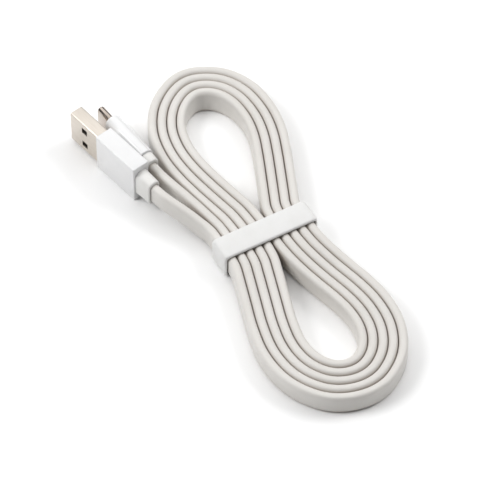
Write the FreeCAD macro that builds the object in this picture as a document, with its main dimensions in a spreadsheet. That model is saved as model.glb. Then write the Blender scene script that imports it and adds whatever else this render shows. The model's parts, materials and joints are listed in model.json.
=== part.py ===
"""USB-A to USB-C charging cable, wound flat as a hank and held by a band.

Millimetres.  +Z is up, +Y runs along the hank, and the origin is under the
middle of the whole object, on the surface that it lies on.
The cable is a flat ribbon that stands on its narrow edge.
"""
import FreeCAD, Part
import math
import os
import re
import Sketcher
from FreeCAD import Placement, Rotation, Vector

SIZES = [
    # the ribbon and its hank
    ("cable_width", 7.0),
    ("cable_thickness", 2.8),
    ("cable_edge_radius", 1.2),
    ("strand_pitch", 3.0),
    ("strand_count", 10),
    ("band_centre_across", 1.0),
    ("band_centre_along", -1.8),
    ("lead_joint_along", 5.8),
    ("strand_lift", 1.1),
    ("lift_flat_half", 7.0),
    ("lift_ramp_end", 22.0),
    ("slab_half_across", 40.0),
    ("slab_half_along", 80.0),
    # the band round the middle of the hank
    ("band_width", 8.4),
    ("band_wall", 0.8),
    ("band_gap", 0.3),
    ("band_side_gap", 0.45),
    ("band_corner", 0.7),
    # USB-A plug
    ("usb_a_casing_length", 18.0),
    ("usb_a_casing_thickness", 6.0),
    ("usb_a_casing_height", 14.0),
    ("usb_a_casing_corner", 0.35),
    ("usb_a_cavity_depth", 17.0),
    ("usb_a_cavity_thickness", 4.6),
    ("usb_a_cavity_height", 12.1),
    ("usb_a_cavity_corner", 0.5),
    ("usb_a_shell_length", 18.75),
    ("usb_a_shell_exposed", 13.2),
    ("usb_a_shell_thickness", 4.5),
    ("usb_a_shell_height", 12.0),
    ("usb_a_shell_corner", 0.5),
    ("usb_a_shell_wall", 0.3),
    ("usb_a_window_back", 6.7),
    ("usb_a_window_length", 2.5),
    ("usb_a_window_height", 2.2),
    ("usb_a_window_spread", 3.0),
    ("usb_a_tongue_thickness", 1.9),
    ("usb_a_tongue_setback", 0.6),
    ("usb_a_block_length", 6.4),
    ("usb_a_contact_width", 1.0),
    ("usb_a_contact_thickness", 0.3),
    ("usb_a_contact_tail", 2.6),
    ("usb_a_solder_back", 1.8),
    ("usb_a_wire_back", 2.5),
    ("usb_a_power_setback", 1.1),
    ("usb_a_data_setback", 2.1),
    ("usb_a_power_spread", 3.5),
    ("usb_a_data_spread", 1.0),
    ("usb_a_boot_length", 6.2),
    ("usb_a_boot_thickness", 4.8),
    ("usb_a_boot_height", 9.8),
    ("usb_a_boot_corner", 2.1),
    # USB-C plug
    ("usb_c_casing_length", 18.0),
    ("usb_c_casing_thickness", 5.4),
    ("usb_c_casing_height", 11.6),
    ("usb_c_casing_corner", 2.6),
    ("usb_c_cavity_depth", 16.0),
    ("usb_c_cavity_thickness", 3.9),
    ("usb_c_cavity_height", 9.5),
    ("usb_c_cavity_corner", 1.3),
    ("usb_c_front_wall", 1.0),
    ("usb_c_shell_length", 10.4),
    ("usb_c_shell_exposed", 6.3),
    ("usb_c_shell_thickness", 2.56),
    ("usb_c_shell_height", 8.34),
    ("usb_c_shell_corner", 1.27),
    ("usb_c_shell_wall", 0.2),
    ("usb_c_insulator_setback", 0.4),
    ("usb_c_insulator_length", 9.4),
    ("usb_c_insulator_thickness", 2.1),
    ("usb_c_insulator_height", 7.88),
    ("usb_c_insulator_corner", 1.04),
    ("usb_c_slot_depth", 5.0),
    ("usb_c_slot_thickness", 0.98),
    ("usb_c_slot_height", 6.8),
    ("usb_c_contact_pitch", 0.5),
    ("usb_c_contact_width", 0.26),
    ("usb_c_contact_thickness", 0.18),
    ("usb_c_contact_height", 0.42),
    ("usb_c_contact_length", 10.2),
    ("usb_c_contact_setback", 0.5),
    ("usb_c_latch_thickness", 0.16),
    ("usb_c_latch_clearance", 0.4),
    ("usb_c_latch_arm", 0.2),
    ("usb_c_latch_arm_thickness", 0.64),
    ("usb_c_latch_arm_root", 0.5),
    ("usb_c_latch_arm_setback", 0.7),
    ("usb_c_latch_hook", 0.22),
    ("usb_c_latch_hook_length", 0.5),
    ("usb_c_spring_thickness", 0.1),
    ("usb_c_spring_length", 1.8),
    ("usb_c_spring_height", 4.8),
    ("usb_c_spring_setback", 0.6),
    ("usb_c_board_length", 7.6),
    ("usb_c_board_thickness", 0.8),
    ("usb_c_board_height", 8.0),
    ("usb_c_board_front", -4.4),
    ("usb_c_resistor_length", 1.0),
    ("usb_c_resistor_height", 0.5),
    ("usb_c_resistor_thickness", 0.35),
    ("usb_c_resistor_up", 1.6),
    ("usb_c_solder_forward", 0.9),
    ("usb_c_wire_forward", 0.3),
    ("usb_c_shield_length", 9.0),
    ("usb_c_shield_front", -4.2),
    ("usb_c_shield_thickness", 3.8),
    ("usb_c_shield_height", 9.4),
    ("usb_c_shield_corner", 1.25),
    ("usb_c_shield_wall", 0.2),
    ("usb_c_boot_length", 3.6),
    ("usb_c_boot_thickness", 4.8),
    ("usb_c_boot_height", 10.0),
    ("usb_c_boot_corner", 2.1),
    # shared by both plugs
    ("boot_taper", 1.8),
    ("neck_length", 1.0),
    ("neck_thickness", 3.9),
    ("neck_height", 8.2),
    ("neck_corner", 1.5),
    ("cable_end_inside", 1.5),
    ("wire_clearance", 0.1),
    ("mold_gap", 0.05),
    ("wire_radius", 0.45),
    ("wire_pitch", 1.4),
    ("wire_rise", 0.6),
    ("solder_base_radius", 0.42),
    ("solder_top_radius", 0.25),
    ("solder_height", 0.5),
    # where the plugs lie, from the band's centre, and where they point
    ("usb_a_front_across", -26.1),
    ("usb_a_front_along", 54.0),
    ("usb_a_heading", 101.3),
    ("usb_a_roll", 180),
    ("usb_c_front_across", -19.65),
    ("usb_c_front_along", 60.5),
    ("usb_c_heading", 96.7),
    ("usb_c_roll", 0),
]

# Centre line between the first and second turn of each loop, from the band's
# centre: up one side of the loop, round its end and back down the other side.
UPPER_LOOP = [
    (0.0, 10.0), (-1.2, 17.0), (-2.7, 25.0), (-4.2, 33.5), (-4.6, 42.5),
    (-2.6, 51.3), (2.6, 58.7), (9.5, 62.3), (15.8, 59.4), (19.5, 53.3),
    (20.2, 45.0), (18.7, 36.5), (15.4, 28.0), (11.7, 19.5), (8.4, 12.0),
    (6.0, 6.6),
]
LOWER_LOOP = [
    (3.0, -8.0), (4.4, -16.0), (6.3, -23.5), (8.3, -31.0), (9.4, -38.5),
    (8.5, -46.0), (5.0, -52.2), (-0.6, -55.6), (-6.8, -54.2), (-11.1, -48.5),
    (-12.3, -40.5), (-10.5, -31.5), (-7.6, -22.5), (-5.1, -14.2), (-3.0, -7.2),
]
UPPER_TURNS = 4
LOWER_TURNS = 5
TURNS_BEFORE_LINE = 1.5
# The hole of each loop ends in a point where its two sides part.
UPPER_HOLE_TIP = (3.0, 6.2)
LOWER_HOLE_TIP = (0.0, -7.2)

# Free routes of the ribbon's middle, from the band's centre: across, along, up.
# Each starts at its boot's rear face and ends where its strand joins the hank.
USB_A_LEAD = [
    (-21.35, 30.25, 7.0), (-20.63, 26.60, 7.0), (-18.9, 22.3, 6.6),
    (-16.8, 17.6, 5.9), (-14.9, 12.9, 5.0), (-13.8, 9.9, 4.6),
    (-13.5, 7.6, 4.6), (-13.5, 5.8, 4.6),
]
USB_C_LEAD = [
    (-17.13, 39.04, 5.8), (-16.63, 34.78, 5.8), (-15.3, 29.6, 5.5),
    (-13.6, 23.6, 5.1), (-11.75, 15.6, 4.7), (-10.5, 9.1, 4.6),
    (-10.5, 5.8, 4.6),
]
# Share of a run that the arc at its corner takes from each end.
ARC_SHARE = 0.45
VOLUME_MATCH = 0.02
LONG_EDGE_SHARE = 0.9
WIRE_COLOURS = ("red", "white", "green", "black")
MIDDLE_WIRE = 1.5

UP = Vector(0, 0, 1)
doc = FreeCAD.newDocument("charging_cable")
nodes = []


# ------------------------------------------------------------ the sheet
def make_sheet():
    """Write the driving sizes into the document's spreadsheet."""
    table = doc.addObject("Spreadsheet::Sheet", "Sizes")
    for row, (alias, number) in enumerate(SIZES, start=1):
        table.set("A%d" % row, alias)
        table.set("B%d" % row, str(number))
        table.setAlias("B%d" % row, alias)
    doc.recompute()
    return table


sheet = make_sheet()


def from_sheet(formula):
    """The formula, with each alias written as a cell of the sheet."""
    return re.sub(r"[a-z]\w+", r"Sizes.\g<0>", formula)


def value(formula):
    return float(sheet.evalExpression(from_sheet(formula)))


def follow(feature, prop, formula):
    """Tie one property of a feature to the sheet."""
    feature.setExpression(prop, from_sheet(formula))


# ------------------------------------------------------------ frames
BAND_CENTRE = Vector(value("band_centre_across"), value("band_centre_along"), 0)
BAND_FRAME = Placement(BAND_CENTRE, Rotation())


def plug_frame(plug):
    """A plug lies on its edge; its +X leaves the front face of its casing.

    The roll about that axis chooses which of its wide faces looks outwards.
    """
    front = Vector(value(plug + "_front_across"), value(plug + "_front_along"),
                   value(plug + "_casing_height / 2"))
    heading = Rotation(UP, value(plug + "_heading"))
    roll = Rotation(Vector(1, 0, 0), value(plug + "_roll"))
    return Placement(BAND_CENTRE + front, heading.multiply(roll))


A_FRAME = plug_frame("usb_a")
C_FRAME = plug_frame("usb_c")


# ------------------------------------------------------------ solids
def node(feature):
    """Keep a feature as one of the object's separate pieces."""
    nodes.append(feature)
    return feature


def draw_rectangle(sketch, thickness, height):
    """Rectangle about the sketch's origin, tied to two formulas."""
    half_wide = value(thickness) / 2
    half_tall = value(height) / 2
    signs = ((-1, -1), (1, -1), (1, 1), (-1, 1))
    corners = [Vector(i * half_wide, j * half_tall, 0) for i, j in signs]
    for k in range(4):
        sketch.addGeometry(Part.LineSegment(corners[k], corners[(k + 1) % 4]), False)
    for k in range(4):
        sketch.addConstraint(Sketcher.Constraint("Coincident", k, 2, (k + 1) % 4, 1))
    for k, kind in enumerate(("Horizontal", "Vertical", "Horizontal", "Vertical")):
        sketch.addConstraint(Sketcher.Constraint(kind, k))
    sketch.addConstraint(Sketcher.Constraint("Symmetric", 0, 1, 1, 2, -1, 1))
    for edge, kind, formula in ((0, "DistanceX", thickness), (1, "DistanceY", height)):
        size = Sketcher.Constraint(kind, edge, 1, edge, 2, value(formula))
        number = sketch.addConstraint(size)
        follow(sketch, "Constraints[%d]" % number, formula)


def bar(name, frame, start, length, section, taper=None):
    """Bar along the frame's X with rounded long edges.

    The section is its thickness along Y, its height along Z and its corner.
    A tapered bar runs the other way, towards -X, and narrows as it goes.
    """
    thickness, height, corner = section
    body = doc.addObject("PartDesign::Body", name)
    sketch = body.newObject("Sketcher::SketchObject", name + "_section")
    planes = [item for item in body.Origin.OriginFeatures if item.Role == "YZ_Plane"]
    sketch.AttachmentSupport = (planes[0], "")
    sketch.MapMode = "FlatFace"
    follow(sketch, "AttachmentOffset.Base.z", start)
    draw_rectangle(sketch, thickness, height)
    pad = body.newObject("PartDesign::Pad", name + "_pad")
    pad.Profile = sketch
    follow(pad, "Length", length)
    if taper:
        pad.Reversed = True
        follow(pad, "TaperAngle", "0 - " + taper)
    doc.recompute()
    long_edges = ["Edge%d" % (k + 1) for k, edge in enumerate(pad.Shape.Edges)
                  if edge.BoundBox.XLength > LONG_EDGE_SHARE * value(length)]
    rounding = body.newObject("PartDesign::Fillet", name + "_rounding")
    rounding.Base = (pad, long_edges)
    follow(rounding, "Radius", corner)
    body.Placement = frame
    doc.recompute()
    return body


def box(name, frame, low, sides):
    """Box whose lowest corner is given in its frame; all are formulas."""
    solid = doc.addObject("Part::Box", name)
    for prop, formula in zip(("Length", "Width", "Height"), sides):
        follow(solid, prop, formula)
    corner = Vector(*[value(formula) for formula in low])
    solid.Placement = frame.multiply(Placement(corner, Rotation()))
    return solid


def both_signs(formula):
    return ("0 - %s" % formula, "0 + %s" % formula)


def cut(name, base, tools):
    """The base less the space that the tools fill."""
    cutter = tools[0] if len(tools) == 1 else group(name + "_cutters", tools)
    solid = doc.addObject("Part::Cut", name)
    solid.Base = base
    solid.Tool = cutter
    return solid


def fuse(name, pieces):
    solid = doc.addObject("Part::MultiFuse", name)
    solid.Shapes = pieces
    return solid


def group(name, pieces):
    """Separate solids kept together as one object."""
    several = doc.addObject("Part::Compound", name)
    several.Links = pieces
    return several


# ------------------------------------------------------------ the ribbon's route
def along_path(points):
    """Straight runs joined by tangent arcs, and the arcs' radii."""
    edges = []
    radii = []
    here = points[0]
    for before, corner, after in zip(points, points[1:], points[2:]):
        run_in = corner - before
        run_out = after - corner
        reach = ARC_SHARE * min(run_in.Length, run_out.Length)
        ahead = Vector(run_out).normalize()
        behind = Vector(run_in).normalize()
        half_turn = behind.getAngle(ahead) / 2
        radius = reach / math.tan(half_turn)
        inward = (ahead - behind).normalize()
        arc_start = corner - behind * reach
        arc_middle = corner + inward * (radius / math.cos(half_turn) - radius)
        arc_end = corner + ahead * reach
        edges.append(Part.LineSegment(here, arc_start).toShape())
        edges.append(Part.Arc(arc_start, arc_middle, arc_end).toShape())
        radii.append(radius)
        here = arc_end
    edges.append(Part.LineSegment(here, points[-1]).toShape())
    return edges, radii


def beside(line, distance):
    """The line moved outwards; its ends count as parallel to the hank."""
    first = (line[0][0], 0.0)
    last = (line[-1][0], 0.0)
    spots = [Vector(x, y, 0) for x, y in [first] + line + [last]]
    moved = []
    for before, corner, after in zip(spots, spots[1:], spots[2:]):
        side_in = UP.cross(Vector(corner - before).normalize())
        side_out = UP.cross(Vector(after - corner).normalize())
        middle = (side_in + side_out).normalize()
        moved.append(corner + middle * (distance / middle.dot(side_in)))
    return moved


def turn_offset(turn):
    """How far a turn's centre line lies outside the loop's given line."""
    return (turn - TURNS_BEFORE_LINE) * value("strand_pitch")


def hole_wire(line, tip, used):
    """Inner outline of a loop, pointed where it meets the band.

    Only the used part of the line is followed: the rest runs on towards the
    band, where the loop's two sides already touch.
    """
    inner_face = turn_offset(1) - value("cable_thickness / 2")
    point = Vector(tip[0], tip[1], 0)
    corners = [point] + beside(line, inner_face)[used] + [point]
    edges, radii = along_path(corners)
    print("hole radii", ["%.1f" % radius for radius in radii])
    return Part.Wire(edges)


def outer_wire():
    """Outer outline: the upper loop, then the lower loop, then the leads' step."""
    half = value("cable_thickness / 2")
    joint = value("lead_joint_along")
    upper = beside(UPPER_LOOP, turn_offset(UPPER_TURNS) + half)
    lower = beside(LOWER_LOOP, turn_offset(LOWER_TURNS) + half)
    inner_corner = Vector(upper[0].x, joint, 0)
    outer_corner = Vector(lower[-1].x, joint, 0)
    edges, radii = along_path([inner_corner] + upper + lower + [outer_corner])
    print("outline radii", ["%.1f" % radius for radius in radii])
    step = Part.LineSegment(outer_corner, inner_corner).toShape()
    return Part.Wire(edges + [step])


def height_profile():
    """Side view of the hank: it lifts off the surface where the band passes under."""
    lift = value("strand_lift")
    tall = value("cable_width")
    flat = value("lift_flat_half")
    ramp = value("lift_ramp_end")
    far = value("slab_half_along")
    under = [(-far, 0), (-ramp, 0), (-flat, lift), (flat, lift), (ramp, 0), (far, 0)]
    over = [(along, up + tall) for along, up in reversed(under)]
    side = value("0 - slab_half_across")
    return Part.makePolygon([Vector(side, along, up) for along, up in under + over + under[:1]])


def extrusion(name, wires, direction, length, frame):
    """Solid drawn out from the face between an outline and its holes."""
    outline = doc.addObject("Part::Feature", name + "_outline")
    outline.Shape = Part.makeFace(wires, "Part::FaceMakerBullseye")
    outline.Placement = frame
    solid = doc.addObject("Part::Extrusion", name)
    solid.Base = outline
    solid.DirMode = "Custom"
    solid.Dir = direction
    follow(solid, "LengthFwd", length)
    solid.Solid = True
    return solid


def cable_coil():
    """Closed solid of the whole hank: ten strands wide under the band."""
    upper_hole = hole_wire(UPPER_LOOP, UPPER_HOLE_TIP, slice(0, -1))
    lower_hole = hole_wire(LOWER_LOOP, LOWER_HOLE_TIP, slice(1, -1))
    plan = extrusion("hank_plan", [outer_wire(), upper_hole, lower_hole], UP,
                     "cable_width + strand_lift", BAND_FRAME)
    side = extrusion("hank_side", [height_profile()], Vector(1, 0, 0),
                     "2 * slab_half_across", BAND_FRAME)
    coil = doc.addObject("Part::Common", "cable_coil")
    coil.Base = plan
    coil.Tool = side
    return node(coil)


def ribbon_section(start, ahead):
    """Rounded section of the ribbon, square to its route and upright."""
    across = ahead.cross(UP).normalize()
    upward = across.cross(ahead)
    half_thick = value("cable_thickness / 2")
    half_tall = value("cable_width / 2")
    radius = value("cable_edge_radius")
    diagonal = radius * math.sqrt(0.5)
    edges = []
    for i, j in ((1, 1), (-1, 1), (-1, -1), (1, -1)):
        centre = start + across * (i * (half_thick - radius)) + upward * (j * (half_tall - radius))
        side_end = centre + across * (i * radius)
        tip_end = centre + upward * (j * radius)
        middle = centre + across * (i * diagonal) + upward * (j * diagonal)
        ends = (side_end, tip_end) if i * j > 0 else (tip_end, side_end)
        edges.append(Part.Arc(ends[0], middle, ends[1]).toShape())
    corners = list(edges)
    for k in range(4):
        leave = corners[k].Vertexes[-1].Point
        meet = corners[(k + 1) % 4].Vertexes[0].Point
        edges.append(Part.LineSegment(leave, meet).toShape())
    return Part.Wire(Part.__sortEdges__(edges))


def ribbon(name, route):
    """Free stretch of the ribbon, drawn along its route."""
    points = [BAND_CENTRE + Vector(*point) for point in route]
    edges, radii = along_path(points)
    spine = Part.Wire(edges)
    section = ribbon_section(points[0], (points[1] - points[0]).normalize())
    sweep = Part.BRepOffsetAPI.MakePipeShell(spine)
    sweep.setBiNormalMode(UP)
    sweep.add(section, False, False)
    sweep.build()
    sweep.makeSolid()
    solid = doc.addObject("Part::Feature", name)
    solid.Shape = sweep.shape()
    expected = Part.Face(section).Area * spine.Length
    print(name, "length %.1f" % spine.Length, "radii", ["%.1f" % radius for radius in radii],
          "volume %.1f of %.1f" % (solid.Shape.Volume, expected))
    if abs(solid.Shape.Volume / expected - 1) > VOLUME_MATCH:
        raise RuntimeError(name + " has the wrong volume")
    return node(solid)


# ------------------------------------------------------------ the band
def coil_band():
    """Loose sleeve round the ten strands."""
    wide = "(strand_count - 1) * strand_pitch + cable_thickness + 2 * band_side_gap"
    tall = "cable_width + 2 * band_gap"
    section_in = (wide, tall, "band_corner")
    section_out = (wide + " + 2 * band_wall", tall + " + 2 * band_wall", "band_corner + band_wall")
    middle = Vector(0, 0, value("strand_lift + cable_width / 2"))
    frame = BAND_FRAME.multiply(Placement(middle, Rotation(UP, 90)))
    start = "0 - band_width / 2"
    outside = bar("coil_band_outside", frame, start, "band_width", section_out)
    inside = bar("coil_band_inside", frame, start, "band_width", section_in)
    return node(cut("coil_band", outside, [inside]))


# ------------------------------------------------------------ pieces of both plugs
def rod(name, frame, start, end):
    """Insulated wire, straight between two points of its frame."""
    wire = doc.addObject("Part::Cylinder", name)
    follow(wire, "Radius", "wire_radius")
    wire.Height = (end - start).Length
    wire.Placement = frame.multiply(Placement(start, Rotation(UP, end - start)))
    return wire


def wire_tails(plug, frame, solder_end, cable_end, spreads):
    """The four coloured wires between the cable's cut end and the solder."""
    tails = []
    for k, colour in enumerate(WIRE_COLOURS):
        start = Vector(solder_end.x, solder_end.y, spreads[k])
        end = cable_end + Vector(0, 0, (MIDDLE_WIRE - k) * value("wire_pitch"))
        tails.append(node(rod("%s_%s_wire" % (plug, colour), frame, start, end)))
    return tails


def solder_joints(plug, frame, spot, spreads):
    """Four small cones of solder, on the side that faces +Y."""
    joints = []
    for k, up in enumerate(spreads):
        joint = doc.addObject("Part::Cone", "%s_solder_%d" % (plug, k + 1))
        follow(joint, "Radius1", "solder_base_radius")
        follow(joint, "Radius2", "solder_top_radius")
        follow(joint, "Height", "solder_height")
        upright = Rotation(UP, Vector(0, 1, 0))
        joint.Placement = frame.multiply(Placement(Vector(spot.x, spot.y, up), upright))
        joints.append(joint)
    return node(group(plug + "_solder_joints", joints))


def cable_end(plug, frame):
    """The jacket's cut end, through the boot and into the casing."""
    section = ("cable_thickness", "cable_width", "cable_edge_radius")
    start = "0 - {0}_casing_length - {0}_boot_length".format(plug)
    return node(bar(plug + "_cable_end", frame, start,
                    plug + "_boot_length + cable_end_inside", section))


def boot(plug, frame, end_of_cable):
    """Strain relief: a tapered sleeve with a neck in the casing's rear wall."""
    section = tuple(plug + word for word in ("_boot_thickness", "_boot_height", "_boot_corner"))
    rear = "0 - %s_casing_length" % plug
    sleeve = bar(plug + "_boot_sleeve", frame, rear, plug + "_boot_length", section, "boot_taper")
    neck = bar(plug + "_boot_neck", frame, rear, "neck_length",
               ("neck_thickness", "neck_height", "neck_corner"))
    both = fuse(plug + "_boot_blank", [sleeve, neck])
    return node(cut(plug + "_boot", both, [end_of_cable]))


def neck_opening(plug, frame):
    return bar(plug + "_neck_opening", frame, "0 - %s_casing_length" % plug, "neck_length",
               ("neck_thickness", "neck_height", "neck_corner"))


def section_of(stem):
    return (stem + "_thickness", stem + "_height", stem + "_corner")


# ------------------------------------------------------------ USB-A plug
def usb_a_shell():
    """Plated steel shell with two latch windows through each wide face."""
    wall = "2 * usb_a_shell_wall"
    rear = "usb_a_shell_exposed - usb_a_shell_length"
    outside = bar("usb_a_shell_outside", A_FRAME, rear, "usb_a_shell_length",
                  section_of("usb_a_shell"))
    inside = bar("usb_a_shell_inside", A_FRAME, rear, "usb_a_shell_length", usb_a_shell_inner())
    windows = []
    for k, middle in enumerate(both_signs("usb_a_window_spread")):
        low = ("usb_a_shell_exposed - usb_a_window_back - usb_a_window_length / 2",
               "0 - usb_a_shell_thickness", middle + " - usb_a_window_height / 2")
        sides = ("usb_a_window_length", "2 * usb_a_shell_thickness", "usb_a_window_height")
        windows.append(box("usb_a_window_%d" % (k + 1), A_FRAME, low, sides))
    return node(cut("usb_a_shell", outside, [inside] + windows))


def usb_a_shell_inner():
    return ("usb_a_shell_thickness - 2 * usb_a_shell_wall",
            "usb_a_shell_height - 2 * usb_a_shell_wall",
            "usb_a_shell_corner - usb_a_shell_wall")


def usb_a_contacts():
    """Four spring contacts: the outer two reach further forward."""
    kinds = (("power", "usb_a_power_spread", "usb_a_power_setback", 1),
             ("data_minus", "usb_a_data_spread", "usb_a_data_setback", 1),
             ("data_plus", "usb_a_data_spread", "usb_a_data_setback", 0),
             ("ground", "usb_a_power_spread", "usb_a_power_setback", 0))
    contacts = []
    for name, spread, setback, side in kinds:
        low = ("usb_a_shell_exposed - usb_a_shell_length - usb_a_contact_tail",
               usb_a_tongue_top() + " - usb_a_contact_thickness",
               both_signs(spread)[side] + " - usb_a_contact_width / 2")
        sides = ("usb_a_shell_length + usb_a_contact_tail - " + setback,
                 "usb_a_contact_thickness", "usb_a_contact_width")
        contacts.append(node(box("usb_a_%s_contact" % name, A_FRAME, low, sides)))
    return contacts


def usb_a_tongue_top():
    return "usb_a_shell_wall - usb_a_shell_thickness / 2 + usb_a_tongue_thickness"


def usb_a_tongue(contacts):
    """Moulded insulator: a rear block and the tongue that carries the contacts."""
    rear = "usb_a_shell_exposed - usb_a_shell_length"
    block = bar("usb_a_tongue_block", A_FRAME, rear, "usb_a_block_length", usb_a_shell_inner())
    low = (rear, "usb_a_shell_wall - usb_a_shell_thickness / 2",
           "usb_a_shell_corner - usb_a_shell_height / 2")
    sides = ("usb_a_shell_length - usb_a_tongue_setback", "usb_a_tongue_thickness",
             "usb_a_shell_height - 2 * usb_a_shell_corner")
    blade = box("usb_a_tongue_blade", A_FRAME, low, sides)
    blank = fuse("usb_a_tongue_blank", [block, blade])
    return node(cut("usb_a_tongue", blank, contacts))


def usb_a_plug():
    usb_a_shell()
    contacts = usb_a_contacts()
    usb_a_tongue(contacts)
    rear = value("usb_a_shell_exposed - usb_a_shell_length")
    top = value(usb_a_tongue_top())
    wide = value("usb_a_power_spread")
    close = value("usb_a_data_spread")
    spreads = (wide, close, -close, -wide)
    solder_spot = Vector(rear - value("usb_a_solder_back"), top, 0)
    solder = solder_joints("usb_a", A_FRAME, solder_spot, spreads)
    end_of_cable = cable_end("usb_a", A_FRAME)
    cut_face = value("cable_end_inside + wire_clearance - usb_a_casing_length")
    wire_start = Vector(rear - value("usb_a_wire_back"), top + value("wire_rise"), 0)
    wires = wire_tails("usb_a", A_FRAME, wire_start, Vector(cut_face, 0, 0), spreads)
    inner_section = ("usb_a_cavity_thickness - 2 * mold_gap",
                     "usb_a_cavity_height - 2 * mold_gap", "usb_a_cavity_corner")
    block = bar("usb_a_mold_blank", A_FRAME, "mold_gap - usb_a_cavity_depth",
                "usb_a_cavity_depth + usb_a_shell_exposed - usb_a_shell_length - 2 * mold_gap",
                inner_section)
    node(cut("usb_a_inner_mold", block, contacts + [solder, end_of_cable] + wires))
    outside = bar("usb_a_casing_outside", A_FRAME, "0 - usb_a_casing_length",
                  "usb_a_casing_length", section_of("usb_a_casing"))
    cavity = bar("usb_a_casing_cavity", A_FRAME, "0 - usb_a_cavity_depth", "usb_a_cavity_depth",
                 section_of("usb_a_cavity"))
    node(cut("usb_a_casing", outside, [cavity, neck_opening("usb_a", A_FRAME)]))
    boot("usb_a", A_FRAME, end_of_cable)


# ------------------------------------------------------------ USB-C plug
USB_C_UPPER_PINS = (1, 4, 5, 6, 7, 9, 12)
USB_C_LOWER_PINS = (1, 4, 5, 9, 12)
USB_C_MIDDLE_PIN = 6.5
USB_C_INSULATOR_REAR = "usb_c_shell_exposed - usb_c_insulator_setback - usb_c_insulator_length"
USB_C_INSULATOR_FRONT = "usb_c_shell_exposed - usb_c_insulator_setback"


def usb_c_shell():
    """Seamless oval shell."""
    rear = "usb_c_shell_exposed - usb_c_shell_length"
    outside = bar("usb_c_shell_outside", C_FRAME, rear, "usb_c_shell_length",
                  section_of("usb_c_shell"))
    inner = ("usb_c_shell_thickness - 2 * usb_c_shell_wall",
             "usb_c_shell_height - 2 * usb_c_shell_wall",
             "usb_c_shell_corner - usb_c_shell_wall")
    inside = bar("usb_c_shell_inside", C_FRAME, rear, "usb_c_shell_length", inner)
    return node(cut("usb_c_shell", outside, [inside]))


def usb_c_contact_row(name, pins, side):
    """One row of contacts, on the +Y or the -Y side of the slot."""
    strips = []
    near = "usb_c_contact_height"
    if side < 0:
        near = "0 - usb_c_contact_height - usb_c_contact_thickness"
    for pin in pins:
        place = side * (pin - USB_C_MIDDLE_PIN)
        low = (USB_C_INSULATOR_FRONT + " - usb_c_contact_setback - usb_c_contact_length", near,
               "%g * usb_c_contact_pitch - usb_c_contact_width / 2" % place)
        sides = ("usb_c_contact_length", "usb_c_contact_thickness", "usb_c_contact_width")
        strips.append(box("%s_%d" % (name, pin), C_FRAME, low, sides))
    return node(group(name, strips))


def usb_c_latch_plate():
    """Grounded middle plate with a hooked spring arm along each side."""
    pieces = []
    plate_low = (USB_C_INSULATOR_REAR, "0 - usb_c_latch_thickness / 2",
                 "0 - usb_c_slot_height / 2 - usb_c_latch_arm")
    plate_sides = ("usb_c_insulator_length - usb_c_slot_depth - usb_c_latch_clearance",
                   "usb_c_latch_thickness", "usb_c_slot_height + 2 * usb_c_latch_arm")
    pieces.append(box("usb_c_latch_middle", C_FRAME, plate_low, plate_sides))
    for k, edge in enumerate(("0 - usb_c_slot_height / 2 - usb_c_latch_arm",
                              "usb_c_slot_height / 2")):
        arm_low = (USB_C_INSULATOR_FRONT + " - usb_c_slot_depth - usb_c_latch_arm_root",
                   "0 - usb_c_latch_arm_thickness / 2", edge)
        arm_sides = ("usb_c_slot_depth + usb_c_latch_arm_root - usb_c_latch_arm_setback",
                     "usb_c_latch_arm_thickness", "usb_c_latch_arm")
        pieces.append(box("usb_c_latch_arm_%d" % (k + 1), C_FRAME, arm_low, arm_sides))
    for k, edge in enumerate(("0 - usb_c_slot_height / 2",
                              "usb_c_slot_height / 2 - usb_c_latch_hook")):
        hook_low = (USB_C_INSULATOR_FRONT + " - usb_c_latch_arm_setback - usb_c_latch_hook_length",
                    "0 - usb_c_latch_arm_thickness / 2", edge)
        hook_sides = ("usb_c_latch_hook_length", "usb_c_latch_arm_thickness", "usb_c_latch_hook")
        pieces.append(box("usb_c_latch_hook_%d" % (k + 1), C_FRAME, hook_low, hook_sides))
    return node(fuse("usb_c_latch_plate", pieces))


def usb_c_ground_springs():
    """A thin spring pad in each wide side of the insulator, near its front."""
    pads = []
    for k, near in enumerate(("usb_c_insulator_thickness / 2 - usb_c_spring_thickness",
                              "0 - usb_c_insulator_thickness / 2")):
        low = (USB_C_INSULATOR_FRONT + " - usb_c_spring_setback - usb_c_spring_length", near,
               "0 - usb_c_spring_height / 2")
        sides = ("usb_c_spring_length", "usb_c_spring_thickness", "usb_c_spring_height")
        pads.append(box("usb_c_ground_spring_%d" % (k + 1), C_FRAME, low, sides))
    return node(group("usb_c_ground_springs", pads))


def usb_c_insulator(inserts):
    """Moulded insulator with the slot that takes the socket's tongue."""
    blank = bar("usb_c_insulator_blank", C_FRAME, USB_C_INSULATOR_REAR,
                "usb_c_insulator_length", section_of("usb_c_insulator"))
    slot = box("usb_c_slot", C_FRAME,
               (USB_C_INSULATOR_FRONT + " - usb_c_slot_depth", "0 - usb_c_slot_thickness / 2",
                "0 - usb_c_slot_height / 2"),
               ("usb_c_slot_depth", "usb_c_slot_thickness", "usb_c_slot_height"))
    slotted = cut("usb_c_insulator_slotted", blank, [slot])
    return node(cut("usb_c_insulator", slotted, inserts))


def usb_c_circuit_board():
    board = box("usb_c_circuit_board", C_FRAME,
                ("usb_c_board_front - usb_c_board_length", "0 - usb_c_board_thickness / 2",
                 "0 - usb_c_board_height / 2"),
                ("usb_c_board_length", "usb_c_board_thickness", "usb_c_board_height"))
    resistor = box("usb_c_resistor", C_FRAME,
                   ("usb_c_board_front - usb_c_board_length / 2", "usb_c_board_thickness / 2",
                    "usb_c_resistor_up"),
                   ("usb_c_resistor_length", "usb_c_resistor_thickness",
                    "usb_c_resistor_height"))
    return node(board), node(resistor)


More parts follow.
